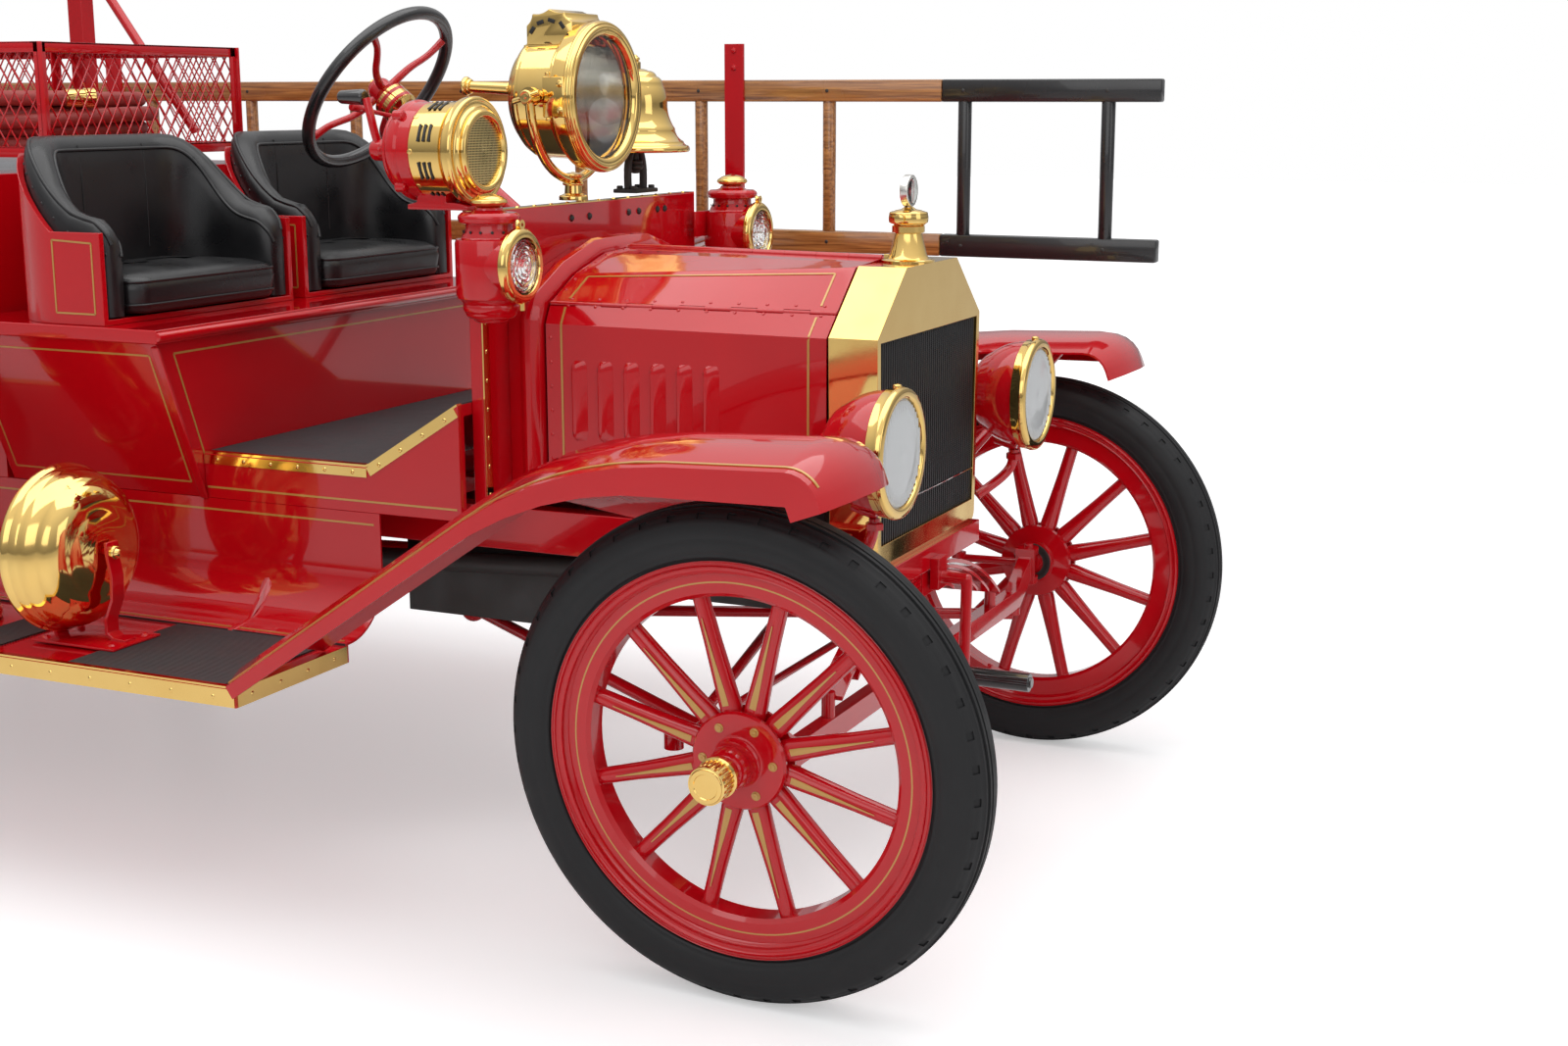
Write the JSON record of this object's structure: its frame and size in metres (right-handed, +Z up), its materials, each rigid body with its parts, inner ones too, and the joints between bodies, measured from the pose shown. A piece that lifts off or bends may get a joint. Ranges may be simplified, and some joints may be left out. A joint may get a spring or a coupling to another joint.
{
  "type": "fire engine",
  "caption": "Brass-era hose and ladder fire engine with spoked wheels, bucket seats, a folding hood, working steering and a rear basket.",
  "frame": {"origin": "on the ground under the middle of the vehicle's length and width", "axes": "+X forward, +Y to the vehicle's left, +Z up"},
  "size_m": [3.541, 1.6825, 1.7],
  "materials": {
    "red_paint": "high gloss enamel over primer",
    "brass": "polished brass",
    "black_paint": "gloss black enamel",
    "bare_iron": "oiled iron",
    "tyre_rubber": "matt rubber",
    "black_leather": "semi gloss leather over padding",
    "oak": "varnished oak",
    "hose_rubber": "dull red rubber",
    "red_wood": "enamelled wood",
    "copper": "polished copper and brass"
  },
  "bodies": {
    "chassis": {"bell": "brass", "cowl": "red_paint", "cowl_lamps": "red_paint", "dash": "red_wood", "drive_tube": "black_paint", "engine_block": "bare_iron", "exhaust": "bare_iron", "extinguisher": "copper", "floor": "red_wood", "frame_rails": "red_paint", "front_axle": "red_paint", "front_fender_left": "red_paint", "front_fender_right": "red_paint", "front_radius_rods": "red_paint", "gong": "brass", "hand_rail_hoop": "red_paint", "headlamp_left": "red_paint", "headlamp_right": "red_paint", "hose_basket": "red_paint", "hose_coil": "hose_rubber", "ladder": "oak", "ladder_holders": "red_paint", "radiator_cap": "brass", "radiator_core": "black_paint", "radiator_shell": "brass", "rear_axle": "black_paint", "rear_body": "red_paint", "rear_fender_left": "red_paint", "rear_fender_right": "red_paint", "rear_step": "red_paint", "running_board_left": "red_paint", "running_board_right": "red_paint", "searchlight": "brass", "seat_box": "red_wood", "seat_cushions": "black_leather", "seat_linings": "black_leather", "seat_shells": "red_paint", "siren": "brass", "starting_crank": "red_paint", "steering_column": "red_paint"},
    "knuckle_left": {"knuckle_left": "red_paint"},
    "knuckle_right": {"knuckle_right": "red_paint"},
    "tie_rod": {"tie_rod": "red_paint"},
    "steering_arm": {"steering_arm": "red_paint"},
    "steering_wheel": {"steering_wheel": "red_paint"},
    "hood_top_left": {"hood_top_left": "red_paint"},
    "hood_top_right": {"hood_top_right": "red_paint"},
    "hood_side_left": {"hood_side_left": "red_paint"},
    "hood_side_right": {"hood_side_right": "red_paint"},
    "wheel_front_left": {"wheel_front_left": "red_wood", "tyre_front_left": "tyre_rubber"},
    "wheel_front_right": {"wheel_front_right": "red_wood", "tyre_front_right": "tyre_rubber"},
    "wheel_rear_left": {"wheel_rear_left": "red_wood", "tyre_rear_left": "tyre_rubber"},
    "wheel_rear_right": {"wheel_rear_right": "red_wood", "tyre_rear_right": "tyre_rubber"}
  },
  "joints": [
    {"name": "steer_left", "type": "hinge", "parent": "chassis", "child": "knuckle_left", "pos_m": [1.3895, 0.64509, 0.38399], "axis": [0, 0, 1], "range_deg": [-32, 32]},
    {"name": "steer_right", "type": "hinge", "parent": "chassis", "child": "knuckle_right", "pos_m": [1.3895, -0.64509, 0.38399], "axis": [0, 0, 1], "range_deg": [-32, 32]},
    {"name": "tie_rod_swing", "type": "hinge", "parent": "knuckle_left", "child": "tie_rod", "pos_m": [1.2395, 0.64509, 0.36259], "axis": [0, 0, 1], "range_deg": [-32, 32]},
    {"name": "steering_arm_turn", "type": "hinge", "parent": "chassis", "child": "steering_arm", "pos_m": [1.1745, 0.232, 0.53757], "axis": [-0.7944, 0, 0.6074], "range_deg": [-32, 32]},
    {"name": "steering_wheel_turn", "type": "hinge", "parent": "chassis", "child": "steering_wheel", "pos_m": [0.1315, 0.232, 1.335], "axis": [-0.7944, 0, 0.6074], "range_deg": [-128, 128]},
    {"name": "wheel_front_left_spin", "type": "hinge", "parent": "knuckle_left", "child": "wheel_front_left", "pos_m": [1.3895, 0.711, 0.38054], "axis": [0, 0.9986, -0.0523], "continuous": true},
    {"name": "wheel_rear_left_spin", "type": "hinge", "parent": "chassis", "child": "wheel_rear_left", "pos_m": [-1.1505, 0.711, 0.381], "axis": [0, 1, 0], "continuous": true},
    {"name": "hood_top_left_lift", "type": "hinge", "parent": "chassis", "child": "hood_top_left", "pos_m": [1.3175, 0, 1.047], "axis": [0.9999, 0, -0.0102], "range_deg": [0, 75]},
    {"name": "hood_side_left_fold", "type": "hinge", "parent": "hood_top_left", "child": "hood_side_left", "pos_m": [1.3175, 0.20159, 0.97159], "axis": [-0.9851, 0.1716, 0.0121], "range_deg": [0, 51]},
    {"name": "wheel_front_right_spin", "type": "hinge", "parent": "knuckle_right", "child": "wheel_front_right", "pos_m": [1.3895, -0.711, 0.38054], "axis": [0, 0.9986, 0.0523], "continuous": true},
    {"name": "wheel_rear_right_spin", "type": "hinge", "parent": "chassis", "child": "wheel_rear_right", "pos_m": [-1.1505, -0.711, 0.381], "axis": [0, 1, 0], "continuous": true},
    {"name": "hood_top_right_lift", "type": "hinge", "parent": "chassis", "child": "hood_top_right", "pos_m": [1.3175, 0, 1.047], "axis": [-0.9999, 0, 0.0102], "range_deg": [0, 75]},
    {"name": "hood_side_right_fold", "type": "hinge", "parent": "hood_top_right", "child": "hood_side_right", "pos_m": [1.3175, -0.20159, 0.97159], "axis": [0.9851, 0.1716, -0.0121], "range_deg": [0, 51]}
  ],
  "couplings": [
    {"joint": "steer_right", "follows": "steer_left", "ratio": 1},
    {"joint": "tie_rod_swing", "follows": "steer_left", "ratio": -1},
    {"joint": "steering_arm_turn", "follows": "steer_left", "ratio": 1},
    {"joint": "steering_wheel_turn", "follows": "steer_left", "ratio": 4},
    {"joint": "hood_side_left_fold", "follows": "hood_top_left_lift", "ratio": 0.68},
    {"joint": "hood_side_right_fold", "follows": "hood_top_right_lift", "ratio": 0.68}
  ]
}
